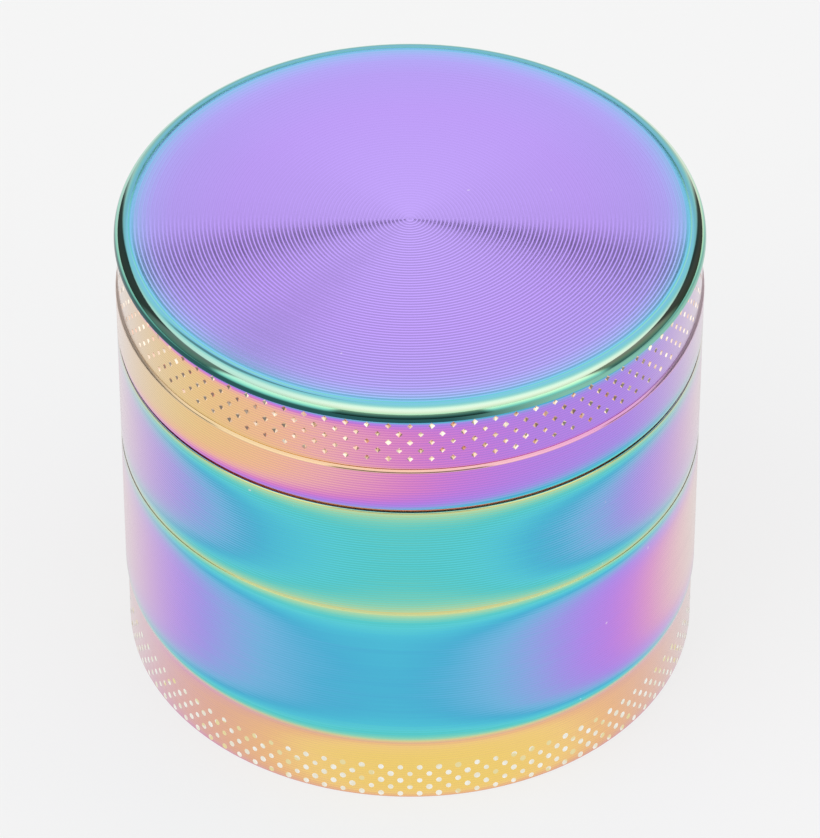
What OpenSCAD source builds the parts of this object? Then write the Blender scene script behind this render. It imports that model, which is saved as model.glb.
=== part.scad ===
// Four-piece hand grinder, closed and standing on its base: a lid with teeth on a magnet, a
// toothed grinding chamber with drop holes, a storage chamber with a fine screen, and a pollen
// catcher. +Z is up and the origin is the centre of the base. The two lower seams are screw
// threads, drawn as plain cylinders that meet at the thread's pitch radius.

/* [Body] */
// Outer diameter of the walls
body_d = 40; // [39:0.5:44]
// Height of the pollen catcher's wall
catcher_h = 17.1; // [14:0.1:24]
// Height of the storage chamber's wall
storage_h = 9.1; // [8.5:0.1:16]
// Height of the grinding chamber's wall
chamber_h = 3.7; // [3:0.1:5]
// Height of the lid
lid_h = 5.1; // [5:0.1:7]
// Radius of the polished bead round the lid's top
bead_r = 0.9; // [0.5:0.1:1.2]
// How far the lid's wall is turned in from its bead and from the chamber's wall
lid_inset = 0.12; // [0.05:0.01:0.3]
// Polished chamfer round the grinding chamber's top edge
rim_chamfer = 0.25; // [0.1:0.05:0.4]
// Height of the knurled band round the base
band_h = 5.3; // [4:0.1:6]
// How far the base band is turned in from the wall above it
band_inset = 0.15; // [0.05:0.05:0.3]

/* [Threads] */
// Pitch diameter of both screw threads
thread_d = 35; // [34.4:0.1:35.4]
// Length of each threaded neck
neck_h = 4; // [3:0.1:4.4]
// Radial gap between a neck and its bore
thread_gap = 0.1; // [0.06:0.01:0.2]

/* [Walls] */
// Inner diameter of the necks and of the grinding chamber
neck_bore_d = 31.8; // [31:0.1:32]
// Thickness of the lid's top plate
lid_plate_t = 1.5; // [1:0.1:2]
// Thickness of the grinding chamber's floor
chamber_floor_t = 1.5; // [1:0.1:2]
// Thickness of the pollen catcher's floor
catcher_floor_t = 2; // [1.2:0.1:3]
// Radius of the fillet inside the pollen catcher
bowl_fillet_r = 3; // [1:0.5:4]

/* [Teeth] */
// Radius of the innermost ring of teeth, which is on the lid
first_tooth_ring_r = 7; // [6.8:0.1:7.2]
// Step from one ring of teeth to the next
tooth_ring_step = 2.55; // [2.4:0.05:2.6]
// Width of a tooth across its ring
tooth_w = 2; // [1.4:0.1:2.1]
// Length of a tooth along its ring
tooth_l = 3; // [2:0.1:3.4]
// Gap left between each tooth's end and the floor or plate it faces
tooth_end_gap = 0.7; // [0.3:0.1:1.5]

/* [Drop holes] */
// Diameter of the drop holes
drop_hole_d = 2.8; // [2:0.1:3]
// Drop holes in the inner ring
inner_holes = 8; // [4:1:10]
// Drop holes in the outer ring
outer_holes = 16; // [8:1:18]

/* [Magnets] */
// Diameter of both magnets
magnet_d = 6; // [4:0.5:6.5]
// Thickness of both magnets
magnet_t = 2; // [1:0.5:2.5]
// Gap between the hub in the lid and the post in the chamber
magnet_gap = 0.4; // [0.2:0.1:1]

/* [Friction ring] */
// Height of the friction ring under the lid
friction_ring_h = 0.7; // [0.5:0.1:1]
// Width of the friction ring's section
friction_ring_w = 0.85; // [0.6:0.05:1]
// Gap that shows between the lid's rim and the chamber
rim_gap = 0.12; // [0.05:0.01:0.3]

/* [Screen] */
// Thickness of the woven screen
screen_t = 0.2; // [0.1:0.05:0.4]
// Height of the ring that holds the screen
screen_ring_h = 1; // [0.8:0.1:1.4]

/* [Hidden] */
$fn = 96;

// Small allowances, all in millimetres
edge_r = 0.3;          // rounding of each seam edge
chamfer = 0.4;         // lead-in of a neck or a bore
lid_edge = 0.1;        // chamfer of the lid's lower edge
neck_end_gap = 0.3;    // space under a screwed-down neck
collar_gap = 0.05;     // friction ring to the collar inside it
seat_gap = 0.05;       // retaining ring or magnet to its seat
recess_t = 0.3;        // hollow under the base
overlap = 0.3;         // how far joined shapes run into each other

// Heights of the seams and of the top
storage_z = catcher_h;
chamber_z = storage_z + storage_h;
lid_z = chamber_z + chamber_h;
top_z = lid_z + lid_h;

// Radii
body_r = body_d / 2;
band_r = body_r - band_inset;
lid_r = body_r - lid_inset;
foot_r = body_r - 3.2;
male_r = thread_d / 2 - thread_gap / 2;
female_r = thread_d / 2 + thread_gap / 2;
neck_bore_r = neck_bore_d / 2;
bowl_r = thread_d / 2 - 0.5;
screen_hole_r = neck_bore_r - 1;
funnel_r = neck_bore_r + 0.5;
collar_r = male_r - 0.05;
ring_in_r = collar_r + collar_gap;
ring_out_r = ring_in_r + friction_ring_w;
skirt_r = collar_r + 0.3;
hub_r = magnet_d / 2 + 1.6;
post_r = magnet_d / 2 + 1.2;

// Screen, from the ledge it rests against down
screen_seat_z = storage_z - neck_h + 1.7;
screen_z = screen_seat_z - screen_t;
screen_ring_z = screen_z - screen_ring_h;
funnel_z = screen_seat_z + 1.2;

// Grinding space, from the chamber's floor up to the lid's plate
floor_z = chamber_z - neck_h + 0.4;
floor_top_z = floor_z + chamber_floor_t;
plate_z = top_z - lid_plate_t;
collar_top_z = plate_z - 0.5;
magnet_mid_z = (floor_top_z + plate_z) / 2 + 0.3;
hub_z = magnet_mid_z + magnet_gap / 2;
post_top_z = magnet_mid_z - magnet_gap / 2;
magnet_sink = 0.1;     // how far a magnet's face lies below the metal round it

// Rings of teeth: [index of the ring, number of teeth, angle of the first tooth]
lid_rings = [[0, 4, 45], [2, 8, 22.5]];
chamber_rings = [[1, 6, 30], [3, 12, 15]];

lid_color = [0.69, 0.58, 0.92];
chamber_color = [0.88, 0.58, 0.76];
storage_color = [0.41, 0.82, 0.80];
catcher_color = [0.30, 0.70, 0.82];
magnet_color = [0.72, 0.73, 0.75];
steel_color = [0.62, 0.63, 0.64];
nylon_color = [0.94, 0.94, 0.92];

// Points of a round corner in a profile, from one angle to another
function corner(r, z, radius, from, to, steps = 6) =
    [for (i = [0:steps]) let (a = from + (to - from) * i / steps)
        [r + radius * cos(a), z + radius * sin(a)]];

// Outer edge of a wall just above the seam at z, and just below it
function edge_above(z) = corner(body_r - edge_r, z + edge_r, edge_r, -90, 0);
function edge_below(z) = corner(body_r - edge_r, z - edge_r, edge_r, 0, 90);

// Mouth and bore that take a threaded neck, from the rim down
function threaded_bore(z) = [
    [female_r + chamfer, z], [female_r, z - chamfer], [female_r, z - neck_h - neck_end_gap]];

// Outside of a threaded neck below a seam, from its end up
function threaded_neck(z) = [
    [male_r - chamfer, z - neck_h], [male_r, z - neck_h + chamfer], [male_r, z]];

// One ring of diamond teeth between two heights
module tooth_ring(ring, z0, z1) {
    ring_r = first_tooth_ring_r + ring[0] * tooth_ring_step;
    for (i = [0:ring[1] - 1])
        rotate(ring[2] + i * 360 / ring[1])
            translate([ring_r, 0, z0])
                linear_extrude(z1 - z0)
                    polygon([[-tooth_w / 2, 0], [0, -tooth_l / 2], [tooth_w / 2, 0], [0, tooth_l / 2]]);
}

// One ring of holes through the chamber's floor
module drop_holes(ring_r, count, first) {
    for (i = [0:count - 1])
        rotate(first + i * 360 / count)
            translate([ring_r, 0, floor_z - overlap])
                cylinder(d = drop_hole_d, h = chamber_floor_t + 2 * overlap);
}

module magnet(z) {
    translate([0, 0, z]) cylinder(d = magnet_d, h = magnet_t);
}

// Pocket that a magnet is glued into
module magnet_pocket(z) {
    translate([0, 0, z]) cylinder(r = magnet_d / 2 + seat_gap, h = magnet_t + magnet_sink);
}

module pollen_catcher() {
    color(catcher_color)
        rotate_extrude()
            polygon(concat(
                [[0, recess_t], [foot_r - recess_t, recess_t], [foot_r, 0]],
                corner(band_r - edge_r, edge_r, edge_r, -90, 0),
                [[band_r, band_h - edge_r], [body_r, band_h + edge_r]],
                edge_below(storage_z),
                threaded_bore(storage_z),
                [[bowl_r, storage_z - neck_h - neck_end_gap]],
                corner(bowl_r - bowl_fillet_r, catcher_floor_t + bowl_fillet_r, bowl_fillet_r, 0, -90, 8),
                [[0, catcher_floor_t]]));
}

module storage_chamber() {
    color(storage_color)
        rotate_extrude()
            polygon(concat(
                [[neck_bore_r, storage_z - neck_h]],
                threaded_neck(storage_z),
                edge_above(storage_z),
                edge_below(chamber_z),
                threaded_bore(chamber_z),
                [[funnel_r, chamber_z - neck_h - neck_end_gap], [screen_hole_r, funnel_z],
                 [screen_hole_r, screen_seat_z], [neck_bore_r, screen_seat_z]]));
}

module pollen_screen() {
    color(steel_color)
        translate([0, 0, screen_z]) cylinder(r = neck_bore_r - 2 * seat_gap, h = screen_t);
}

module screen_retaining_ring() {
    color(steel_color)
        translate([0, 0, screen_ring_z])
            difference() {
                cylinder(r = neck_bore_r - seat_gap, h = screen_ring_h);
                translate([0, 0, -overlap])
                    cylinder(r = screen_hole_r, h = screen_ring_h + 2 * overlap);
            }
}

module grinding_chamber() {
    color(chamber_color) {
        rotate_extrude()
            polygon(concat(
                [[neck_bore_r, chamber_z - neck_h]],
                threaded_neck(chamber_z),
                edge_above(chamber_z),
                [[body_r, lid_z - rim_chamfer], [body_r - rim_chamfer, lid_z],
                 [collar_r, lid_z], [collar_r, collar_top_z - edge_r],
                 [collar_r - edge_r, collar_top_z], [neck_bore_r, collar_top_z]]));
        difference() {
            translate([0, 0, floor_z]) cylinder(r = neck_bore_r + overlap, h = chamber_floor_t);
            drop_holes(first_tooth_ring_r, inner_holes, 0);
            drop_holes(first_tooth_ring_r + 2 * tooth_ring_step, outer_holes, 0);
        }
        difference() {
            translate([0, 0, floor_z]) cylinder(r = post_r, h = post_top_z - floor_z);
            magnet_pocket(post_top_z - magnet_t - magnet_sink);
        }
        for (ring = chamber_rings)
            tooth_ring(ring, floor_top_z - overlap, plate_z - tooth_end_gap);
    }
}

module chamber_magnet() {
    color(magnet_color) magnet(post_top_z - magnet_sink - magnet_t);
}

module friction_ring() {
    color(nylon_color)
        translate([0, 0, lid_z])
            difference() {
                cylinder(r = ring_out_r, h = friction_ring_h);
                translate([0, 0, -overlap])
                    cylinder(r = ring_in_r, h = friction_ring_h + 2 * overlap);
            }
}

module lid() {
    rim_z = lid_z + rim_gap;
    color(lid_color) {
        rotate_extrude()
            polygon(concat(
                [[ring_out_r + seat_gap, rim_z], [lid_r - lid_edge, rim_z], [lid_r, rim_z + lid_edge],
                 [lid_r, top_z - bead_r - lid_inset]],
                corner(body_r - bead_r, top_z - bead_r, bead_r, 0, 90, 8),
                [[0, top_z], [0, plate_z], [skirt_r, plate_z], [skirt_r, lid_z + friction_ring_h],
                 [ring_out_r + seat_gap, lid_z + friction_ring_h]]));
        difference() {
            translate([0, 0, hub_z]) cylinder(r = hub_r, h = plate_z + overlap - hub_z);
            magnet_pocket(hub_z);
        }
        for (ring = lid_rings)
            tooth_ring(ring, floor_top_z + tooth_end_gap, plate_z + overlap);
    }
}

module lid_magnet() {
    color(magnet_color) magnet(hub_z + magnet_sink);
}

pollen_catcher();
storage_chamber();
pollen_screen();
screen_retaining_ring();
grinding_chamber();
chamber_magnet();
friction_ring();
lid();
lid_magnet();
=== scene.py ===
"""Looks of a four-piece hand grinder: turned, knurled and threaded shells in rainbow plating.

Shapes are built in millimetres round the Z axis and turned into metres when a mesh is made.
"""

import math
import random

import bpy
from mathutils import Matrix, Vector
from mathutils.geometry import delaunay_2d_cdt


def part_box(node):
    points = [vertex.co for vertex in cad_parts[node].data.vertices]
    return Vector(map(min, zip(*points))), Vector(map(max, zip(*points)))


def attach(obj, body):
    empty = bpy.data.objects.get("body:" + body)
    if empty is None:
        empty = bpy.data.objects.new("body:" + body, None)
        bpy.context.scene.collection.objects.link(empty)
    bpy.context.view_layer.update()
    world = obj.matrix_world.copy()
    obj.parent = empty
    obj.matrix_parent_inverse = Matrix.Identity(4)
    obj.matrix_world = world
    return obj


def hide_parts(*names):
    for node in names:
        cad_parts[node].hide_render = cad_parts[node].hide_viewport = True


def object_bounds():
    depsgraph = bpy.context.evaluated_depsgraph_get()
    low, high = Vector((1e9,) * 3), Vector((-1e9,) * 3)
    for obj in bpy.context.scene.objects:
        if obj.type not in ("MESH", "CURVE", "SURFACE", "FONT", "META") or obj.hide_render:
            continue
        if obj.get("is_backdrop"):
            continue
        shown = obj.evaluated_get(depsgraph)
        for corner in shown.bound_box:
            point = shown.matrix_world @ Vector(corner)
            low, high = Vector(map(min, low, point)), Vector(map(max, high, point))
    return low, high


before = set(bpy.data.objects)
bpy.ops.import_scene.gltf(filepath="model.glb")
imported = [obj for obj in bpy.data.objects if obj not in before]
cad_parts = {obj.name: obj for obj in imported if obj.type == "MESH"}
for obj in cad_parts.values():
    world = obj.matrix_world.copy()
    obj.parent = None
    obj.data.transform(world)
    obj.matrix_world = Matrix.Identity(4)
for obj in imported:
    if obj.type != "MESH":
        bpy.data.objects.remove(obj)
cad_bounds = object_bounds()

MM = 0.001


def span(node):
    """Lowest and highest point of a CAD node, in millimetres."""
    low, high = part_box(node)
    return low.z / MM, high.z / MM


# Seams, heights and radii that the frame gives
BODY_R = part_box("lid")[1].x / MM
TOP_Z = span("lid")[1]
LID_Z = span("friction_ring")[0]
CHAMBER_Z = span("storage_chamber")[1]
STORAGE_Z = span("pollen_catcher")[1]
NECK_H = STORAGE_Z - span("storage_chamber")[0]
COLLAR_TOP_Z = span("grinding_chamber")[1]
LID_TOOTH_Z = span("lid")[0]
SCREEN_LOW_Z, SCREEN_Z = span("pollen_screen")
RING_TOP_Z = span("friction_ring")[1]
RING_OUT_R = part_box("friction_ring")[1].x / MM
MAGNET_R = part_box("lid_magnet")[1].x / MM

# Outside details
BEAD_R = 0.97
RIM_GAP, SEAM_GAP = 0.02, 0.28
BAND_R = BODY_R - 0.15
LID_R = BODY_R - 0.17
TURN_PITCH, TURN_DEPTH = 0.21, 0.006
TOP_GROOVE_PITCH, TOP_GROOVE_DEPTH = 0.27, 0.011
BOWL_GROOVE_PITCH, BOWL_GROOVE_DEPTH = 0.5, 0.012
FOOT_GROOVE_PITCH, FOOT_GROOVE_DEPTH = 0.6, -0.02
LID_PITS, LID_PIT_ROWS, LID_ROW_H = 88, 5, 0.707
BASE_PITS, BASE_PIT_ROWS, BASE_ROW_H = 94, 5, 0.62
STEP_LOW_Z, STEP_HIGH_Z = 4.95, 5.65

# A pit's half width, half height and depth, and whether it is round
LID_PIT = (0.22, 0.25, 0.18, False)
BASE_PIT = (0.22, 0.24, 0.05, True)
chance = random.Random(7)

# Inside details, the same as in the solids
NECK_BORE_R = 15.9
COLLAR_R = 17.4
SKIRT_R = 17.7
RING_IN_R = 17.45
HUB_R, POST_R = 4.6, 4.2
POCKET_R, POCKET_DEPTH = 3.05, 2.2
PLATE_Z = TOP_Z - 1.5
FLOOR_Z, FLOOR_TOP_Z = CHAMBER_Z - 3.6, CHAMBER_Z - 2.1
MAGNET_SINK = 0.1
HUB_Z = span("lid_magnet")[0] - MAGNET_SINK
POST_TOP_Z = span("chamber_magnet")[1] + MAGNET_SINK
SCREEN_HOLE_R = NECK_BORE_R - 1
FUNNEL_R = NECK_BORE_R + 0.5
BOWL_R, BOWL_FLOOR_Z, BOWL_FILLET = 17, 2, 3
FOOT_R, RECESS_Z = 16.8, 0.3
TOOTH_HALF_W, TOOTH_HALF_L, TOOTH_ROUND = 1.0, 1.5, 0.2
FLOOR_TOOTH_Z = PLATE_Z - 0.7
DROP_HOLE_R = 1.4

# Inside corners and edges, and the space that a screwed-down neck leaves under it
FILLET, FLOOR_FILLET = 0.3, 0.22
CHAMFER, BORE_EDGE, SMALL_EDGE = 0.25, 0.15, 0.1
NECK_END_GAP = 0.3

# Rings of teeth and holes: radius, count and, for teeth, the angle of the first in degrees
LID_TEETH = ((7, 4, 45), (12.1, 8, 22.5))
FLOOR_TEETH = ((9.55, 6, 30), (14.65, 12, 15))
DROP_HOLES = ((7, 8), (12.1, 16))

# Screw threads
PITCH = 2.0
MALE_R, FEMALE_R, RIDGE = 17.3, 17.42, 0.3
ROWS_PER_PITCH = 8
RUN_OUT = 0.5


# ---------------------------------------------------------------- meshes

class Shell:
    """A mesh of rings round the Z axis. Rings that join as a strip have the same number of points.

    A strip faces away from the axis when its second ring is the higher one, and up when its
    second ring is the smaller one.
    """

    def __init__(self, sides):
        self.sides = sides
        self.points = []
        self.faces = []
        self.finishes = []
        self.flats = []
        self.creases = {}

    def point(self, x, y, z):
        self.points.append((x * MM, y * MM, z * MM))
        return len(self.points) - 1

    def polar(self, r, side, z):
        angle = math.tau * side / self.sides
        return self.point(r * math.cos(angle), r * math.sin(angle), z)

    def ring(self, r, z, crease=False):
        """A ring of points, or one point on the axis. A crease is shaded as a sharp edge."""
        if r == 0:
            return [self.point(0, 0, z)] * self.sides
        made = [self.polar(r, side, z) for side in range(self.sides)]
        if crease:
            self.creases.update((one, made[0]) for one in made)
        return made

    def face(self, corners, finish=0, flat=False):
        kept = [c for i, c in enumerate(corners) if c != corners[i - 1]]
        if len(set(kept)) > 2:
            self.faces.append(kept)
            self.finishes.append(finish)
            self.flats.append(flat)

    def strip(self, a, b, finish=0, flat=False):
        for i in range(len(a)):
            j = (i + 1) % len(a)
            self.face((a[i], a[j], b[j], b[i]), finish, flat)

    def along(self, start, profile, finish=0):
        """Joins ring start to a ring at each (radius, height[, crease]) and returns the last."""
        for place in profile:
            ring = self.ring(*place)
            self.strip(start, ring, finish)
            start = ring
        return start

    def loop(self, outline, z):
        return [self.point(x, y, z) for x, y in outline]

    def fill(self, outer, loops, up, finish=0):
        """Fills the flat region inside the ring outer and outside each of the loops.

        A triangle whose corners all belong to one loop lies inside that loop and is left out.
        """
        every = [outer, *loops]
        ids = [p for one in every for p in one]
        owner = [n for n, one in enumerate(every) for _ in one]
        flat = [Vector((self.points[p][0] / MM, self.points[p][1] / MM)) for p in ids]
        edges, first = [], 0
        for one in every:
            edges += [(first + i, first + (i + 1) % len(one)) for i in range(len(one))]
            first += len(one)
        made = delaunay_2d_cdt(flat, edges, [], 0, 1e-6)
        spots, triangles, sources = made[0], made[2], made[3]
        for triangle in triangles:
            corners = [sources[c][0] for c in triangle]
            inside = {owner[c] for c in corners}
            if len(inside) == 1 and inside != {0}:
                continue
            a, b, c = (spots[i] for i in triangle)
            turns_left = (b - a).cross(c - a) > 0
            if turns_left != up:
                corners.reverse()
            self.face([ids[c] for c in corners], finish, True)

    def knurl(self, low, z, rows, row_h, r, pit, finish, pit_finish):
        """A band of pits in staggered rows above ring low, one pit to every two sides.

        The borders of the cells run through the points that lie halfway between two pits.
        """
        n = self.sides
        for row in range(rows):
            mid = z + row_h / 2
            z += row_h
            high = self.ring(r, z)
            first = row % 2
            border = {c: self.polar(r, c, mid) for c in range(1 - first, n, 2)}
            for c in range(first, n, 2):
                left, right = (c - 1) % n, (c + 1) % n
                cell = (border[right], high[right], high[c], high[left],
                        border[left], low[left], low[c], low[right])
                self.pit(cell, c, mid, r, pit, finish, pit_finish)
            low = high
        return low

    def pit(self, cell, centre, z, r, pit, finish, pit_finish):
        """One pit in the middle of a cell, whose eight corners start on its right.

        No two pits are quite the same in size, depth and the place of their lowest point.
        """
        half_w, half_h, depth, is_round = pit
        turn = self.sides / (math.tau * r)
        size = chance.uniform(0.86, 1.08)
        half_w, half_h, depth = half_w * size, half_h * size, depth * chance.uniform(0.85, 1.15)
        lean_x, lean_z = chance.uniform(-0.2, 0.2) * half_w, chance.uniform(-0.2, 0.2) * half_h
        mouth, waist = (1.0, 0.0), (0.62, 0.62)
        outlines = []
        for scale, sunk in (mouth, waist) if is_round else (mouth,):
            outline = []
            for k in range(8):
                dx, dz = math.cos(math.tau * k / 8), math.sin(math.tau * k / 8)
                reach = 1 if is_round else 1 / (abs(dx) + abs(dz))
                side = centre + half_w * scale * reach * dx * turn
                outline.append(self.polar(r - depth * sunk, side, z + half_h * scale * reach * dz))
            outlines.append(outline)
        apex = self.polar(r - depth, centre + lean_x * turn, z + lean_z)
        self.strip(cell, outlines[0], finish)
        for outer, inner in zip(outlines, outlines[1:]):
            self.strip(outer, inner, pit_finish)
        last = outlines[-1]
        for k in range(8):
            self.face((last[k], last[(k + 1) % 8], apex), pit_finish, not is_round)

    def thread(self, start, z_start, z_end, r):
        """A right-hand thread from ring start to the ring it returns, cut off level at both ends."""
        end = self.ring(r, z_end)
        up = z_end > z_start
        low, high = (start, end) if up else (end, start)
        z_low, z_high = min(z_start, z_end), max(z_start, z_end)
        step = PITCH / ROWS_PER_PITCH
        z_first = (math.floor(z_low / PITCH) - 1) * PITCH
        rows = math.ceil((z_high - z_first) / step) + 1
        shape = [0, 0, 0, 0.5, 1, 1, 1, 0.5]
        made = {}

        def corner(row, side):
            if side == self.sides:
                row, side = row + ROWS_PER_PITCH, 0
            z = z_first + row * step + PITCH * side / self.sides
            if z < z_low + 0.04:
                return low[side]
            if z > z_high - 0.04:
                return high[side]
            if (row, side) not in made:
                fade = min(1, (z - z_low) / RUN_OUT, (z_high - z) / RUN_OUT)
                made[row, side] = self.polar(r + RIDGE * fade * shape[row % ROWS_PER_PITCH], side, z)
            return made[row, side]

        for side in range(self.sides):
            for row in range(rows):
                corners = [corner(row, side), corner(row, side + 1),
                           corner(row + 1, side + 1), corner(row + 1, side)]
                self.face(corners if up else corners[::-1])
        return end

    def tooth(self, ring_r, degrees, z_root, z_tip, finish=0):
        """A diamond tooth with a chamfered tip, and the loop of points at its root."""
        up = z_tip > z_root
        chamfer = 0.15
        levels = [(z_root, 0), (z_tip - (chamfer if up else -chamfer), 0), (z_tip, chamfer)]
        loops = [self.loop(tooth_outline(ring_r, degrees, shrink), z) for z, shrink in levels]
        for a, b in zip(loops, loops[1:]):
            self.strip(*((a, b) if up else (b, a)), finish)
        self.face(loops[-1] if up else loops[-1][::-1], finish, True)
        return loops[0]

    def hole(self, x, y, r, z_top, z_bottom, finish=0):
        """The wall of a drop hole with broken edges, and its loops at the top and the bottom."""
        edge, sides = 0.1, 28
        levels = [(z_top, r + edge), (z_top - edge, r), (z_bottom + edge, r), (z_bottom, r + edge)]
        loops = [self.loop(circle(x, y, radius, sides), z) for z, radius in levels]
        for a, b in zip(loops, loops[1:]):
            self.strip(a, b, finish)
        return loops[0], loops[-1]

    def make(self, name, materials):
        mesh = bpy.data.meshes.new(name)
        mesh.from_pydata(self.points, [], self.faces)
        for material in materials:
            mesh.materials.append(material)
        mesh.polygons.foreach_set("material_index", self.finishes)
        mesh.polygons.foreach_set("use_smooth", [not flat for flat in self.flats])
        mesh.validate()
        mesh.set_sharp_from_angle(angle=math.radians(32))
        for edge in mesh.edges:
            a, b = edge.vertices
            if a in self.creases and self.creases[a] == self.creases.get(b):
                edge.use_edge_sharp = True
        made = bpy.data.objects.new(name, mesh)
        bpy.context.scene.collection.objects.link(made)
        return made


def circle(x, y, r, sides):
    turns = [math.tau * i / sides for i in range(sides)]
    return [(x + r * math.cos(a), y + r * math.sin(a)) for a in turns]


def tooth_outline(ring_r, degrees, shrink=0):
    """A diamond with rounded corners, centred on its ring of teeth."""
    a, b = TOOTH_HALF_W, TOOTH_HALF_L
    scale = 1 - TOOTH_ROUND * math.hypot(a, b) / (a * b)
    edge = math.atan2(a, b)
    corners = [(a * scale, 0, -edge, edge), (0, b * scale, edge, math.pi - edge),
               (-a * scale, 0, math.pi - edge, math.pi + edge),
               (0, -b * scale, math.pi + edge, math.tau - edge)]
    turn = math.radians(degrees)
    outline = []
    for x, y, start, stop in corners:
        for k in range(4):
            angle = start + (stop - start) * k / 3
            px = ring_r + x + (TOOTH_ROUND - shrink) * math.cos(angle)
            py = y + (TOOTH_ROUND - shrink) * math.sin(angle)
            outline.append((px * math.cos(turn) - py * math.sin(turn),
                            px * math.sin(turn) + py * math.cos(turn)))
    return outline


def arc(r, z, radius, start, stop, steps):
    """Points of a round corner, from one angle in degrees to another."""
    angles = [math.radians(start + (stop - start) * k / steps) for k in range(steps + 1)]
    return [(r + radius * math.cos(a), z + radius * math.sin(a)) for a in angles]


def turned(r, z_from, z_to, depth=TURN_DEPTH):
    """A wall with fine turning lines."""
    steps = 4 * max(1, round(abs(z_to - z_from) / TURN_PITCH))
    return [(r - depth * (1 - math.cos(math.tau * k / 4)) / 2, z_from + (z_to - z_from) * k / steps)
            for k in range(1, steps + 1)]


def faced(z, r_from, r_to, pitch, depth):
    """A flat face with concentric turning grooves sunk into it, which meet in sharp cusps."""
    steps = 3 * max(1, round(abs(r_to - r_from) / pitch))
    sunk = [0, 0.5, 1]
    return [(r_from + (r_to - r_from) * k / steps, z - depth * sunk[k % 3], True)
            for k in range(1, steps + 1)]


def seam_edge(z, away, r, bite, reach, drop):
    """From a seam's face out to a wall: a small round edge, then a soft crown.

    away is 1 for the wall above the seam and -1 for the one below it.
    """
    small = arc(r - drop - bite, z + away * bite, bite, -90 * away, 0, 4)
    crown = [(r - drop * (1 - k / 5) ** 2, z + away * (bite + reach * k / 5)) for k in range(1, 6)]
    return small + crown


def neck(shell, seam_z):
    """A threaded neck from its lower end up to its seam. Returns its first and last ring."""
    end_z = seam_z - NECK_H
    lead_in, relief = 0.35, MALE_R - 0.15
    first = shell.ring(NECK_BORE_R + BORE_EDGE, end_z)
    end = shell.along(first, [(MALE_R - lead_in, end_z), (MALE_R, end_z + lead_in)])
    end = shell.thread(end, end_z + lead_in, seam_z - 0.5, MALE_R)
    last = [(relief, seam_z - 0.4), (relief, seam_z - 0.1), (MALE_R - 0.05, seam_z)]
    return first, shell.along(end, last)


def socket(shell, start, seam_z):
    """A seam's inner face and the threaded bore below it."""
    end_z = seam_z - NECK_H
    lead_in, relief = 0.45, FEMALE_R + 0.13
    end = shell.along(start, [(FEMALE_R + 0.5, seam_z), (FEMALE_R, seam_z - lead_in)])
    end = shell.thread(end, seam_z - lead_in, end_z - 0.1, FEMALE_R)
    return shell.along(end, [(relief, end_z - 0.2), (relief, end_z - NECK_END_GAP)])


def teeth(shell, rings, z_root, z_tip, finish):
    """Rings of teeth on one face, and the loops of points at their roots."""
    return [shell.tooth(r, first + 360 * i / count, z_root, z_tip, finish)
            for r, count, first in rings for i in range(count)]


def lid_shell(materials):
    wall, top, bead, pit, inside = range(5)
    shell = Shell(2 * LID_PITS)
    rim_z = LID_Z + RIM_GAP
    ring_pocket_r = RING_OUT_R + 0.05
    first = shell.ring(ring_pocket_r, rim_z)
    edge = 0.04
    end = shell.along(first, [(LID_R - edge, rim_z)], inside)
    end = shell.along(end, [(LID_R - edge / 4, rim_z + edge / 4), (LID_R, rim_z + edge)], wall)
    band_z = TOP_Z - BEAD_R - LID_PIT_ROWS * LID_ROW_H
    end = shell.along(end, turned(LID_R, rim_z + edge, band_z), wall)
    end = shell.knurl(end, band_z, LID_PIT_ROWS, LID_ROW_H, LID_R, LID_PIT, wall, pit)
    end = shell.along(end, arc(BODY_R - BEAD_R, TOP_Z - BEAD_R, BEAD_R, 4, 90, 16), bead)
    groove_r, centre_r = BODY_R - BEAD_R - 0.25, 0.19
    end = shell.along(end, [(groove_r, TOP_Z, True)], top)
    grooves = faced(TOP_Z, groove_r, centre_r, TOP_GROOVE_PITCH, TOP_GROOVE_DEPTH)
    shell.along(end, [*grooves, (0, TOP_Z)], top)

    # Under side, from the magnet's pocket out to the rim
    pocket_z = HUB_Z + POCKET_DEPTH
    pocket = [(POCKET_R, pocket_z), (POCKET_R, HUB_Z + SMALL_EDGE), (POCKET_R + SMALL_EDGE, HUB_Z),
              (HUB_R - CHAMFER, HUB_Z), (HUB_R, HUB_Z + CHAMFER), (HUB_R, PLATE_Z)]
    hub = shell.along(shell.ring(0, pocket_z), pocket, inside)
    skirt = shell.ring(SKIRT_R - FILLET, PLATE_Z)
    roots = teeth(shell, LID_TEETH, PLATE_Z, LID_TOOTH_Z, inside)
    shell.fill(skirt, [hub, *roots], False, inside)
    end = shell.along(skirt, arc(SKIRT_R - FILLET, PLATE_Z - FILLET, FILLET, 90, 0, 4)[1:], inside)
    end = shell.along(end, [(SKIRT_R, RING_TOP_Z + SMALL_EDGE), (SKIRT_R + SMALL_EDGE, RING_TOP_Z),
                            (ring_pocket_r, RING_TOP_Z)], inside)
    shell.strip(end, first, inside)
    return shell.make("lid_shell", materials)


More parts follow.
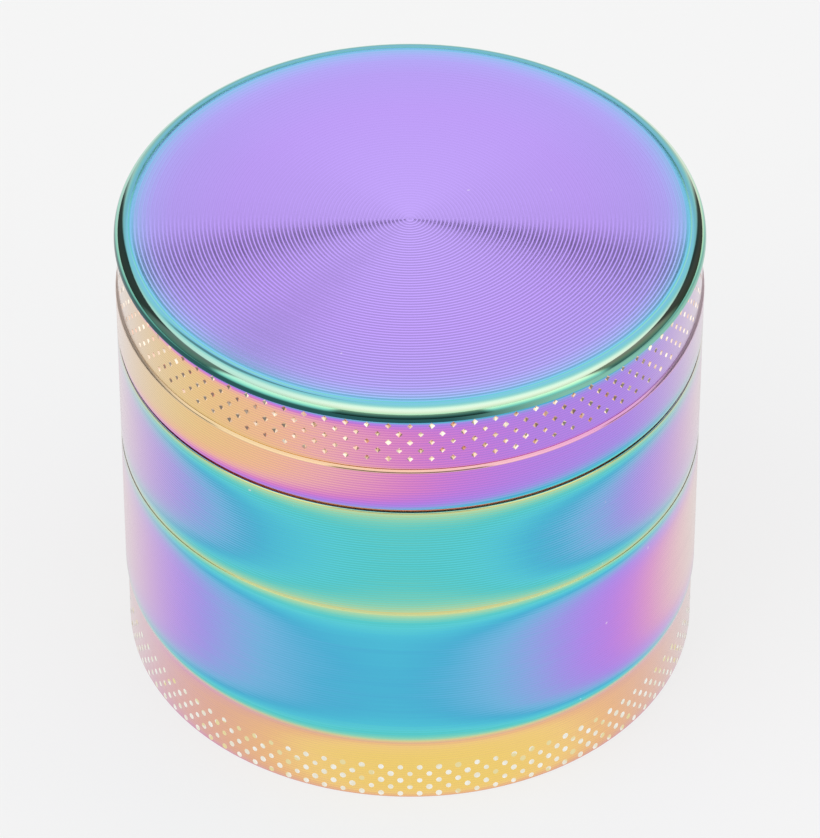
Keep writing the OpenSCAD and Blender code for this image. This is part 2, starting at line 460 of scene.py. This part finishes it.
def chamber_shell(materials):
    wall, rim, inside = range(3)
    shell = Shell(180)
    first, end = neck(shell, CHAMBER_Z)

    # The seam's face, which steps up near the wall to leave the gap that shows
    end = shell.along(end, [(BODY_R - 0.7, CHAMBER_Z), (BODY_R - 0.5, CHAMBER_Z + SEAM_GAP)], rim)
    lower = seam_edge(CHAMBER_Z + SEAM_GAP, 1, BODY_R, 0.04, 0.2, 0.02)
    end = shell.along(end, lower, wall)

    # A soft edge, the ledge that slopes up to the lid, and the flat that the lid's ring turns on
    ledge_z = LID_Z - 0.09
    end = shell.along(end, turned(BODY_R, lower[-1][1], ledge_z - 0.11), wall)
    end = shell.along(end, [(BODY_R - 0.008, ledge_z - 0.085), (BODY_R - 0.035, ledge_z - 0.008),
                            (BODY_R - 0.044, ledge_z), (BODY_R - 0.19, LID_Z - 0.01),
                            (BODY_R - 0.2, LID_Z - 0.005), (BODY_R - 0.28, LID_Z)], rim)

    # The collar inside the lid, and the bore down to the floor
    collar = [(COLLAR_R + SMALL_EDGE, LID_Z), (COLLAR_R, LID_Z + SMALL_EDGE)]
    collar += arc(COLLAR_R - FILLET, COLLAR_TOP_Z - FILLET, FILLET, 0, 90, 4)
    lead_in = 0.2
    collar += [(NECK_BORE_R + lead_in, COLLAR_TOP_Z), (NECK_BORE_R, COLLAR_TOP_Z - lead_in)]
    collar += arc(NECK_BORE_R - FLOOR_FILLET, FLOOR_TOP_Z + FLOOR_FILLET, FLOOR_FILLET, 0, -90, 4)
    bore = shell.along(end, collar, inside)

    # Floor with its post, teeth and drop holes
    post_foot = shell.ring(POST_R + FILLET, FLOOR_TOP_Z)
    post = arc(POST_R + FILLET, FLOOR_TOP_Z + FILLET, FILLET, 270, 180, 4)[1:]
    pocket_z = POST_TOP_Z - POCKET_DEPTH
    post += [(POST_R, POST_TOP_Z - CHAMFER), (POST_R - CHAMFER, POST_TOP_Z),
             (POCKET_R + SMALL_EDGE, POST_TOP_Z), (POCKET_R, POST_TOP_Z - SMALL_EDGE),
             (POCKET_R, pocket_z), (0, pocket_z)]
    shell.along(post_foot, post, inside)
    roots = teeth(shell, FLOOR_TEETH, FLOOR_TOP_Z, FLOOR_TOOTH_Z, inside)
    holes = [shell.hole(x, y, DROP_HOLE_R, FLOOR_TOP_Z, FLOOR_Z, inside)
             for r, count in DROP_HOLES for x, y in circle(0, 0, r, count)]
    shell.fill(bore, [post_foot, *roots, *(top for top, bottom in holes)], True, inside)
    under = shell.ring(NECK_BORE_R, FLOOR_Z)
    shell.fill(under, [bottom for top, bottom in holes], False, inside)
    end = shell.along(under, [(NECK_BORE_R, CHAMBER_Z - NECK_H + BORE_EDGE)], inside)
    shell.strip(end, first, inside)
    return shell.make("grinding_chamber_shell", materials)


def storage_shell(materials):
    wall, inside = range(2)
    shell = Shell(180)
    first, end = neck(shell, STORAGE_Z)
    lower = seam_edge(STORAGE_Z, 1, BODY_R, 0.01, 0.9, 0.05)
    upper = seam_edge(CHAMBER_Z, -1, BODY_R, 0.1, 0.3, 0.03)[::-1]
    end = shell.along(end, lower, wall)
    end = shell.along(end, turned(BODY_R, lower[-1][1], upper[0][1]), wall)
    end = shell.along(end, upper[1:], wall)
    end = socket(shell, end, CHAMBER_Z)

    # The funnel, the ledge that holds the screen and the bore below it
    funnel_z = SCREEN_Z + 1.2
    end = shell.along(end, [(FUNNEL_R, CHAMBER_Z - NECK_H - NECK_END_GAP), (SCREEN_HOLE_R, funnel_z),
                            (SCREEN_HOLE_R, SCREEN_Z), (NECK_BORE_R, SCREEN_Z),
                            (NECK_BORE_R, STORAGE_Z - NECK_H + BORE_EDGE)], inside)
    shell.strip(end, first, inside)
    return shell.make("storage_chamber_shell", materials)


def catcher_shell(materials):
    wall, pit, inside = range(3)
    shell = Shell(2 * BASE_PITS)
    under = faced(RECESS_Z, 0, FOOT_R - 0.4, FOOT_GROOVE_PITCH, FOOT_GROOVE_DEPTH)
    end = shell.along(shell.ring(0, RECESS_Z), under, inside)
    edge = 0.03
    foot = [(FOOT_R - RECESS_Z, RECESS_Z), (FOOT_R, 0), (BAND_R - edge, 0), (BAND_R, edge)]
    end = shell.along(end, foot, wall)
    end = shell.knurl(end, edge, BASE_PIT_ROWS, BASE_ROW_H, BAND_R, BASE_PIT, wall, pit)
    band_top = edge + BASE_PIT_ROWS * BASE_ROW_H
    end = shell.along(end, turned(BAND_R, band_top, STEP_LOW_Z), wall)

    # A smooth step out from the band to the body, the wall and a bevel at the seam
    blend = [(k / 6) ** 2 * (3 - k / 3) for k in range(1, 7)]
    step_h = STEP_HIGH_Z - STEP_LOW_Z
    step = [(BAND_R + (BODY_R - BAND_R) * w, STEP_LOW_Z + step_h * k / 6)
            for k, w in enumerate(blend, 1)]
    end = shell.along(end, step, wall)
    end = shell.along(end, turned(BODY_R, STEP_HIGH_Z, STORAGE_Z - 0.3, 0.6 * TURN_DEPTH), wall)
    bevel = [(BODY_R - 0.02, STORAGE_Z - 0.035, True), (BODY_R - 0.055, STORAGE_Z)]
    end = shell.along(end, bevel, wall)
    end = socket(shell, end, STORAGE_Z)
    bowl = [(BOWL_R, STORAGE_Z - NECK_H - NECK_END_GAP)]
    bowl += arc(BOWL_R - BOWL_FILLET, BOWL_FLOOR_Z + BOWL_FILLET, BOWL_FILLET, 0, -90, 12)
    end = shell.along(end, bowl, inside)
    flat_r, centre_r = BOWL_R - BOWL_FILLET, 0.2
    grooves = faced(BOWL_FLOOR_Z, flat_r, centre_r, BOWL_GROOVE_PITCH, BOWL_GROOVE_DEPTH)
    shell.along(end, [*grooves, (0, BOWL_FLOOR_Z)], inside)
    return shell.make("pollen_catcher_shell", materials)


def round_ring(name, material, r_in, r_out, z_low, z_high, edge):
    """A ring of rectangular section with rounded edges."""
    shell = Shell(144)
    corners = [(r_out - edge, z_low + edge, -90, 0), (r_out - edge, z_high - edge, 0, 90),
               (r_in + edge, z_high - edge, 90, 180), (r_in + edge, z_low + edge, 180, 270)]
    profile = [p for r, z, start, stop in corners for p in arc(r, z, edge, start, stop, 3)]
    first = shell.ring(*profile[0])
    shell.strip(shell.along(first, profile[1:]), first)
    return shell.make(name, [material])


def magnet_disc(name, material, node):
    """A nickel-plated disc with rounded edges."""
    low, high = span(node)
    edge = 0.22
    shell = Shell(72)
    profile = arc(MAGNET_R - edge, low + edge, edge, -90, 0, 4)
    profile += arc(MAGNET_R - edge, high - edge, edge, 0, 90, 4)
    shell.along(shell.ring(0, low), [*profile, (0, high)])
    return shell.make(name, [material])


def screen_weave(material):
    """A plain weave of round wires, each over one and under the next."""
    shell = Shell(4)
    pitch, wire_r = 0.5, 0.062
    mid_z = (SCREEN_LOW_Z + SCREEN_Z) / 2
    reach = NECK_BORE_R - 0.12
    half = int(reach / pitch)
    for row in range(-half, half + 1):
        across = row * pitch
        crossings = int(math.sqrt(reach ** 2 - across ** 2) / pitch)
        for lengthways in (True, False):
            start = None
            for step in range(-2 * crossings, 2 * crossings + 1):
                run = step * pitch / 2
                lift = wire_r * 0.9 * math.cos(math.pi * (step / 2 + row + (0 if lengthways else 1)))
                ring = []
                for k in range(4):
                    side, rise = wire_r * math.cos(math.tau * k / 4), wire_r * math.sin(math.tau * k / 4)
                    x, y = (run, across - side) if lengthways else (across + side, run)
                    ring.append(shell.point(x, y, mid_z + lift + rise))
                if start is None:
                    shell.face(ring[::-1], 0, True)
                else:
                    shell.strip(start, ring)
                start = ring
            shell.face(start, 0, True)
    return shell.make("screen_weave", [material])


# ---------------------------------------------------------------- materials

def srgb(code):
    """A linear colour from six hex digits."""
    shares = [int(code[i:i + 2], 16) / 255 for i in (0, 2, 4)]
    return [c / 12.92 if c <= 0.04045 else ((c + 0.055) / 1.055) ** 2.4 for c in shares] + [1.0]


class Value:
    """A number worked out by a material's nodes, so that a formula reads as one."""

    def __init__(self, tree, socket):
        self.tree, self.socket = tree, socket

    def do(self, operation, *others):
        node = self.tree.nodes.new("ShaderNodeMath")
        node.operation = operation
        for socket, other in zip(node.inputs, (self, *others)):
            feed(self.tree, socket, other)
        return Value(self.tree, node.outputs[0])

    def __add__(self, other):
        return self.do("ADD", other)

    def __sub__(self, other):
        return self.do("SUBTRACT", other)

    def __mul__(self, other):
        return self.do("MULTIPLY", other)

    def __truediv__(self, other):
        return self.do("DIVIDE", other)

    def __abs__(self):
        return self.do("ABSOLUTE")

    def squared(self):
        return self * self

    def near(self, centre, reach):
        """1 at centre, falling off exponentially over reach on both sides."""
        return (abs(self - centre) / -reach).do("EXPONENT")

    def smooth(self, low, high):
        """0 up to low, 1 from high on and smooth between, or falling where low is the higher."""
        node = self.tree.nodes.new("ShaderNodeMapRange")
        node.interpolation_type = "SMOOTHSTEP"
        feed(self.tree, node.inputs["Value"], self)
        node.inputs["From Min"].default_value = low
        node.inputs["From Max"].default_value = high
        return Value(self.tree, node.outputs["Result"])

    def wave(self, pitch):
        """A wave from -1 to 1, once in each pitch."""
        return (self * (math.tau / pitch)).do("SINE")


def feed(tree, socket, value):
    """Links a Value or a socket to a node's input, or sets a plain number there."""
    if isinstance(value, Value):
        tree.links.new(value.socket, socket)
    elif isinstance(value, bpy.types.NodeSocket):
        tree.links.new(value, socket)
    else:
        socket.default_value = value


class Finish:
    """A material under construction, with the place on the object in millimetres.

    r is the distance from the axis, side runs from -1 on the left to 1 on the right, and turn
    is the angle round the axis.
    """

    def __init__(self, name, metallic=1.0):
        self.material = bpy.data.materials.new(name)
        self.material.use_nodes = True
        self.tree = self.material.node_tree
        self.shader = self.tree.nodes["Principled BSDF"]
        self.shader.inputs["Metallic"].default_value = metallic
        self.place = self.new("TexCoord").outputs["Object"]
        parts = self.new("SeparateXYZ")
        self.tree.links.new(self.place, parts.inputs[0])
        x, y, self.z = (Value(self.tree, parts.outputs[i]) * (1 / MM) for i in range(3))
        self.r = (x.squared() + y.squared()).do("SQRT")
        self.side = x / self.r.do("MAXIMUM", 0.01)
        self.turn = y.do("ARCTAN2", x)

    def new(self, kind):
        return self.tree.nodes.new("ShaderNode" + kind)

    def ramp(self, value, stops):
        node = self.new("ValToRGB")
        feed(self.tree, node.inputs[0], value)
        while len(node.color_ramp.elements) < len(stops):
            node.color_ramp.elements.new(1)
        for element, (position, code) in zip(node.color_ramp.elements, stops):
            element.position = position
            element.color = srgb(code)
        return node.outputs["Color"]

    def mix(self, share, a, b, blend="MIX"):
        node = self.new("Mix")
        node.data_type = "RGBA"
        node.blend_type = blend
        feed(self.tree, node.inputs["Factor"], share)
        for name, colour in (("A", a), ("B", b)):
            socket = [s for s in node.inputs if s.name == name and s.type == "RGBA"][0]
            feed(self.tree, socket, srgb(colour) if isinstance(colour, str) else colour)
        return [s for s in node.outputs if s.type == "RGBA"][0]

    def noise(self, scale, detail=2.0, stretch=None):
        """Noise over the object, or round it in long streaks where stretch is given."""
        node = self.new("TexNoise")
        node.inputs["Scale"].default_value = scale
        node.inputs["Detail"].default_value = detail
        place = self.place
        if stretch is not None:
            joined = self.new("CombineXYZ")
            feed(self.tree, joined.inputs[0], self.r * stretch[0])
            feed(self.tree, joined.inputs[1], self.turn * stretch[1])
            feed(self.tree, joined.inputs[2], self.z * stretch[2])
            place = joined.outputs[0]
        self.tree.links.new(place, node.inputs["Vector"])
        return Value(self.tree, node.outputs["Fac"])

    def glare(self):
        """Painted pale reflection: 0 over the front and the back, rising to 0.9 where a wall turns away
        at the sides.
        """
        return ((abs(self.side) - 0.66) / 0.34).do("MAXIMUM", 0).squared() * 0.9

    def bump(self, height, distance):
        node = self.new("Bump")
        node.inputs["Distance"].default_value = distance * MM
        feed(self.tree, node.inputs["Height"], height)
        self.tree.links.new(node.outputs[0], self.shader.inputs["Normal"])

    def rough(self, value):
        feed(self.tree, self.shader.inputs["Roughness"], value)

    def colour(self, socket):
        self.tree.links.new(socket, self.shader.inputs["Base Color"])


# Colours that a thin film runs through as it gets thicker, by phase
FILM = [(0.00, "e8c886"), (0.07, "ecc08a"), (0.13, "f0b896"), (0.19, "ecaab0"), (0.25, "e292c0"),
        (0.30, "d882ca"), (0.36, "c67edc"), (0.41, "b882e4"), (0.46, "ae88e8"), (0.51, "a094e6"),
        (0.56, "8ca6e2"), (0.61, "72b4de"), (0.66, "4cb0d4"), (0.70, "50c0d8"), (0.74, "5ccdd6"),
        (0.78, "58cacb"), (0.83, "78d2c0"), (0.88, "98d6b4"), (0.92, "b4d8a8"), (0.95, "ccd69a"),
        (1.00, "f0cf72"), (1.05, "f2cc82"), (1.10, "ecba88"), (1.16, "e4b094"), (1.23, "deaaa6"),
        (1.30, "d8a0b8")]
FILM_END = 1.3
FILM_STOPS = [(phase / FILM_END, code) for phase, code in FILM]

# Brightness of the plating on the crests of its turning lines, whose grooves get painted shade
FILM_GAIN = 1.12


def plating(name, phase, shade, roughness=0.2, base=None):
    """Rainbow plating whose film thickness is phase(finish), with painted shade of that depth in the
    grooves of its turning lines.

    base(finish) gives the film of a second colour run and its share of the surface.
    """
    f = Finish(name)
    line = f.z.wave(TURN_PITCH)
    streaks = f.noise(1.0, 3.0, (9.0, 1.5, 9.0)) - 0.5
    cloud = f.noise(90.0, 2.0) - 0.5
    waver = line * shade * 0.3 + streaks * 0.05 + cloud * 0.05
    glare = f.glare()
    colour = f.ramp((phase(f) + waver) / FILM_END, FILM_STOPS)
    if base is not None:
        second, share = base(f)
        colour = f.mix(share, colour, f.ramp((second + waver) / FILM_END, FILM_STOPS))
    # Painted reflection: the plating turns pale towards the sides, where the wall turns away
    colour = f.mix(glare, colour, "dccccb")
    specks = f.noise(1500.0, 1.0).smooth(0.8, 0.84) * 0.4
    colour = f.mix(specks, colour, "f4e8ee")
    # Painted shade: darker in the grooves of the turning lines, brighter on their crests
    f.colour(f.mix(1.0, colour, line * -shade + FILM_GAIN - shade, "MULTIPLY"))
    f.rough(streaks * 0.12 + roughness)
    f.bump(f.noise(1.0, 2.0, (30.0, 3.0, 30.0)), 0.0022)
    return f.material


def ring_film(f):
    """The film of the lid and the grinding chamber: gold on the left to lavender on the right."""
    return f.side * 0.38 - f.side.do("MAXIMUM", 0).squared() * 0.22 + 0.3


def towards(film, target, share):
    """A film that comes near its target phase by a share, from 0 to 1."""
    return film + (film * -1 + target) * share


def lid_film(f):
    """A little thinner at the lid's lower edge, and thicker just under the bead."""
    film = ring_film(f) - f.z.near(LID_Z, 0.12) * 0.12
    return towards(film, 0.8, f.z.near(TOP_Z - BEAD_R, 0.25))


def chamber_film(f):
    """Thicker towards the seam below, through blue and teal to green-gold."""
    return ring_film(f) + f.z.near(CHAMBER_Z, 0.55) * 0.62


def storage_film(f):
    """Teal, blue and violet at both sides and green-gold towards the seams, where the face of the
    upper one has a thin film.
    """
    body = (f.side + 0.03).squared() * -0.46 + 0.77
    body = towards(body, 0.97, f.z.near(CHAMBER_Z, 0.85))
    body = towards(body, 0.975, f.z.near(STORAGE_Z, 1.0))
    seat = f.z.near(CHAMBER_Z, 0.12) * f.r.smooth(BODY_R - 0.06, BODY_R - 0.14)
    return towards(body, 0.15, seat)


def catcher_film(f):
    """Blue, violet and pink at both sides, and green-gold towards the seam and the step."""
    body = (f.side + 0.1).squared() * -0.45 + 0.67
    body = towards(body, 0.945, f.z.near(STORAGE_Z, 0.9))
    return towards(body, 0.95, f.z.near((STEP_LOW_Z + STEP_HIGH_Z) / 2, 0.85))


def base_film(f):
    """The second run of colours below the step: gold, and pinker at the step and the foot."""
    film = (f.side - 0.108).squared() * 0.28 + 1.0
    film = film + f.z.near(STEP_LOW_Z + 0.2, 0.4) * 0.13 + f.z.near(0, 0.3) * 0.16
    return film, f.z.smooth(STEP_HIGH_Z + 0.1, STEP_LOW_Z + 0.05)


def inner_film(f):
    """Slow clouds from pink to teal, for the faces that the closed grinder hides."""
    return f.noise(60.0, 1.0) * 0.25 + f.r * 0.03 + f.z * 0.012 - 0.1


def lid_top(name):
    """The lid's faced top: lavender, with a blue and teal edge."""
    f = Finish(name)
    line = f.r.wave(TOP_GROOVE_PITCH)
    streaks = f.noise(1.0, 3.0, (12.0, 1.0, 1.0)) - 0.5
    cloud = f.noise(70.0, 2.0) - 0.5
    across = f.r / BODY_R + line * 0.004 + streaks * 0.02 + cloud * 0.02
    stops = [(0.0, "bfa2f6"), (0.6, "bb9bf4"), (0.8, "b69df2"), (0.87, "b2a4f4"),
             (0.905, "a8b0f4"), (0.928, "98baee"), (0.938, "82c0ea"), (0.944, "6ec8e2"),
             (0.949, "70ccd4"), (0.955, "98dcd0")]
    specks = f.noise(1400.0, 1.0).smooth(0.8, 0.84) * 0.5
    colour = f.mix(specks, f.ramp(across, stops), "f0eaf8")
    # Painted shade: darker in the grooves of the top's turning lines
    f.colour(f.mix(1.0, colour, line * -0.07 + 1.03, "MULTIPLY"))
    f.rough(streaks * 0.06 + 0.08)
    f.bump(f.noise(1.0, 2.0, (40.0, 2.0, 1.0)), 0.001)
    return f.material


def bead_polish(name):
    """The polished bead: a painted dark teal reflection below, pale green over its crown and blue on
    top.

    lift is the place round the bead's section, from 0 on its outer side to 1 on top.
    """
    f = Finish(name)
    lift = (f.z - (TOP_Z - BEAD_R)).do("ARCTAN2", f.r - (BODY_R - BEAD_R)) / (math.pi / 2)
    # The dark stops near the outer side are a painted reflection of the dark surroundings
    stops = [(0.0, "487c8c"), (0.04, "2a5860"), (0.25, "2c5c58"), (0.33, "6cbcac"), (0.43, "b0e8c0"),
             (0.5, "cce4c4"), (0.6, "dbefd9"), (0.67, "cceed8"), (0.75, "9ad2c8"), (0.82, "7cc4c8"),
             (0.9, "78c4d4"), (1.0, "7cc2e0")]
    # Painted reflection: the dark band below is lighter on the right side
    foot = lift.smooth(0.36, 0.2) * f.side.smooth(0.1, 0.55) * 0.9
    teal = f.side.smooth(-0.1, -0.75) * lift.smooth(0.3, 0.45) * lift.smooth(0.8, 0.62) * 0.5
    colour = f.ramp(lift + (f.noise(50.0, 1.0) - 0.5) * 0.06, stops)
    f.colour(f.mix(teal, f.mix(foot, colour, "8ccdb8"), "72c8c4"))
    f.rough(f.noise(1.0, 2.0, (6.0, 8.0, 6.0)) * 0.05 + 0.04)
    return f.material


def polished_chamfer(name):
    """The bright chamfer round the grinding chamber's top edge, with a thinner film."""
    f = Finish(name)
    film = f.side * 0.25 + 0.13 + (f.noise(60.0, 1.0) - 0.5) * 0.04
    glare = f.glare()
    # Painted reflection: paler towards the sides, where the chamfer turns away
    f.colour(f.mix(glare * 0.7 + 0.25, f.ramp(film / FILM_END, FILM_STOPS), "ecdcd8"))
    f.rough(f.noise(1.0, 2.0, (6.0, 8.0, 6.0)) * 0.06 + glare * 0.5 + 0.06)
    return f.material


def pit_metal(name, light, dark, patch_tone):
    """Knurled pits in pale metal, lighter and darker in random patches."""
    f = Finish(name)
    shade = f.mix(f.noise(1500.0, 2.0).smooth(0.35, 0.65), light, dark)
    f.colour(f.mix(f.noise(650.0, 1.0).smooth(0.56, 0.62), shade, patch_tone))
    f.rough(f.noise(800.0, 2.0) * 0.12 + 0.1)
    return f.material


def bare_metal(name, light, dark, roughness):
    """Nickel or steel with fine scratches that run round the axis."""
    f = Finish(name)
    streaks = f.noise(1.0, 4.0, (30.0, 3.0, 30.0))
    f.colour(f.mix(streaks.smooth(0.3, 0.7), light, dark))
    f.rough(streaks * 0.15 + roughness)
    f.bump(streaks, 0.003)
    return f.material


def nylon(name):
    """White plastic, slightly cloudy and translucent."""
    f = Finish(name, 0.0)
    cloud = f.noise(400.0, 3.0)
    f.colour(f.mix(cloud, "f2f1ec", "e4e2da"))
    f.rough(cloud * 0.2 + 0.4)
    f.bump(cloud, 0.01)
    f.shader.inputs["Subsurface Weight"].default_value = 0.1
    return f.material


# ---------------------------------------------------------------- stage

def make_camera():
    """A long lens from 41 degrees above the front. Places are in metres."""
    elevation, distance = math.radians(40.81), 0.4345
    aim = Vector((0, 0, 0.01714))
    data = bpy.data.cameras.new("camera")
    data.lens = 269.9
    data.sensor_width = 36
    data.clip_start, data.clip_end = 0.05, 10
    camera = bpy.data.objects.new("camera", data)
    centre = Vector((0, 0, 0.01814))
    camera.location = centre + distance * Vector((0, -math.cos(elevation), math.sin(elevation)))
    camera.rotation_euler = (aim - camera.location).to_track_quat("-Z", "Y").to_euler()
    bpy.context.scene.collection.objects.link(camera)
    bpy.context.scene.camera = camera


def make_world():
    """A light tent: a bright ceiling, a pale backdrop behind the object and a soft box on each
    side of the camera, with a weak light at the far sides. The dark gaps between them draw lines
    on the polished metal. x, y and z are a direction, and aside is how far it is to either side.
    """
    world = bpy.data.worlds.new("tent")
    bpy.context.scene.world = world
    world.use_nodes = True
    tree = world.node_tree
    place = tree.nodes.new("ShaderNodeTexCoord")
    parts = tree.nodes.new("ShaderNodeSeparateXYZ")
    tree.links.new(place.outputs["Generated"], parts.inputs[0])
    x, y, z = (Value(tree, parts.outputs[i]) for i in range(3))
    aside = abs(x) / (x.squared() + y.squared()).do("SQRT").do("MAXIMUM", 0.001)
    front = y.smooth(0.05, -0.05)
    back = front * -1 + 1

    # Ceiling, soft boxes and backdrop
    height = z - aside * 0.08
    ceiling = height.smooth(0.54, 0.58)
    glow = (z * 0.6 + 0.62).do("MINIMUM", 1.12)
    boxes = aside.smooth(0.42, 0.5) * aside.smooth(0.97, 0.93) * front * 1.2
    backdrop = aside.smooth(0.55, 0.42) * back * glow

    # Dark gaps: along the ceiling's front edge, two short ones behind, a joint between two of
    # the ceiling's panels and the shaded top of the backdrop
    seam = (abs(height - 0.56) / 0.009).smooth(1.0, 0.0) * front * 0.8
    corner = (abs(z - 0.607) / 0.013).smooth(1.0, 0.4)
    corner = corner * abs(x).smooth(0.01, 0.025) * abs(x).smooth(0.1, 0.075)
    joint = (abs(x + y * 0.46) / 0.2).smooth(1.0, 0.6) * z.smooth(0.73, 0.78) * z.smooth(0.9, 0.86)
    shadow = z.smooth(0.612, 0.596) * z.smooth(0.44, 0.52)
    gaps = seam.do("MAXIMUM", corner * back * 0.95).do("MAXIMUM", joint * back * 0.6)
    gaps = gaps.do("MAXIMUM", shadow * back * 0.17)

    # A weak light between the soft boxes, at the far sides and everywhere below the ceiling
    below = ceiling * -1 + 1
    low = (boxes + backdrop) * below
    between = aside.smooth(0.5, 0.42) * front * (z * 0.3 + 0.12)
    dim = between + aside.smooth(0.93, 0.98) * 0.2 + 0.06
    level = (low + ceiling * glow) * (gaps * -1 + 1) + dim * below
    background = tree.nodes["Background"]
    background.inputs["Color"].default_value = (1, 1, 1, 1)
    feed(tree, background.inputs["Strength"], level)


def make_floor():
    """A pale floor, lifted a little by its own glow so that it stays even."""
    bpy.ops.mesh.primitive_plane_add(size=6, location=(0, 0, 0))
    floor = bpy.context.object
    floor.name = "floor"
    f = Finish("floor_paper", 0.0)
    f.rough(0.9)
    f.shader.inputs["Specular IOR Level"].default_value = 0.0
    f.shader.inputs["Base Color"].default_value = (0.2, 0.2, 0.2, 1)
    f.shader.inputs["Emission Color"].default_value = (1, 1, 1, 1)
    f.shader.inputs["Emission Strength"].default_value = 0.7
    floor.data.materials.append(f.material)
    floor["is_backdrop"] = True


def make_lights():
    """A key and a fill light for the dull pieces. The metal doesn't mirror them."""
    for name, place, power in (("key", (-0.5, -0.3, 0.9), 2.0), ("fill", (0.6, 0.2, 0.8), 1.2)):
        data = bpy.data.lights.new(name, "AREA")
        data.shape = "DISK"
        data.size = 0.8
        data.energy = power
        lamp = bpy.data.objects.new(name, data)
        lamp.location = place
        lamp.rotation_euler = (-Vector(place)).to_track_quat("-Z", "Y").to_euler()
        lamp.visible_glossy = False
        bpy.context.scene.collection.objects.link(lamp)


make_camera()
make_world()
make_floor()
make_lights()
bpy.context.scene.view_settings.view_transform = "Standard"

lid_wall = plating("lid_plating", lid_film, 0.07)
chamber_wall = plating("chamber_plating", chamber_film, 0.07)
storage_wall = plating("storage_plating", storage_film, 0.07)
catcher_wall = plating("catcher_plating", catcher_film, 0.025, 0.24, base_film)
inner_wall = plating("inner_plating", inner_film, 0.03, 0.26)
pale_pits = pit_metal("base_pits", "fffff8", "f4f0dc", "f2e4ac")
lid_pits = pit_metal("lid_pits", "fff4e2", "e6c8b0", "ecc4b0")
nickel = bare_metal("nickel", "d6d8dc", "b6b8bc", 0.14)
wire_steel = bare_metal("wire_steel", "c8cacc", "9a9c9e", 0.28)
ring_steel = bare_metal("ring_steel", "c2c4c6", "a4a6a8", 0.24)
white_nylon = nylon("white_nylon")

lid_finishes = [lid_wall, lid_top("lid_top_plating"), bead_polish("bead_plating"), lid_pits, inner_wall]
chamber_finishes = [chamber_wall, polished_chamfer("rim_plating"), inner_wall]

# Each piece with the body that it rides on, the node that it replaces and its material's slot
pieces = [
    (lid_shell(lid_finishes),
     "lid", "lid", "lid_plating"),
    (magnet_disc("lid_magnet_disc", nickel, "lid_magnet"),
     "lid", "lid_magnet", "nickel"),
    (round_ring("friction_ring_nylon", white_nylon, RING_IN_R, RING_OUT_R, LID_Z, RING_TOP_Z, 0.12),
     "friction_ring", "friction_ring", "nylon"),
    (chamber_shell(chamber_finishes),
     "grinding_chamber", "grinding_chamber", "chamber_plating"),
    (magnet_disc("chamber_magnet_disc", nickel, "chamber_magnet"),
     "chamber_magnet", "chamber_magnet", "nickel"),
    (storage_shell([storage_wall, inner_wall]),
     "storage_chamber", "storage_chamber", "storage_plating"),
    (screen_weave(wire_steel),
     "storage_chamber", "pollen_screen", "stainless_mesh"),
    (round_ring("screen_ring_steel", ring_steel, SCREEN_HOLE_R, NECK_BORE_R - 0.05,
                *span("screen_retaining_ring"), 0.1),
     "screen_retaining_ring", "screen_retaining_ring", "stainless_ring"),
    (catcher_shell([catcher_wall, pale_pits, inner_wall]),
     "pollen_catcher", "pollen_catcher", "catcher_plating"),
]
for piece, body, node, slot in pieces:
    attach(piece, body)
    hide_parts(node)

boxes = {"cad": cad_bounds, "visual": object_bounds()}
{name: [list(corner) for corner in box] for name, box in boxes.items()}
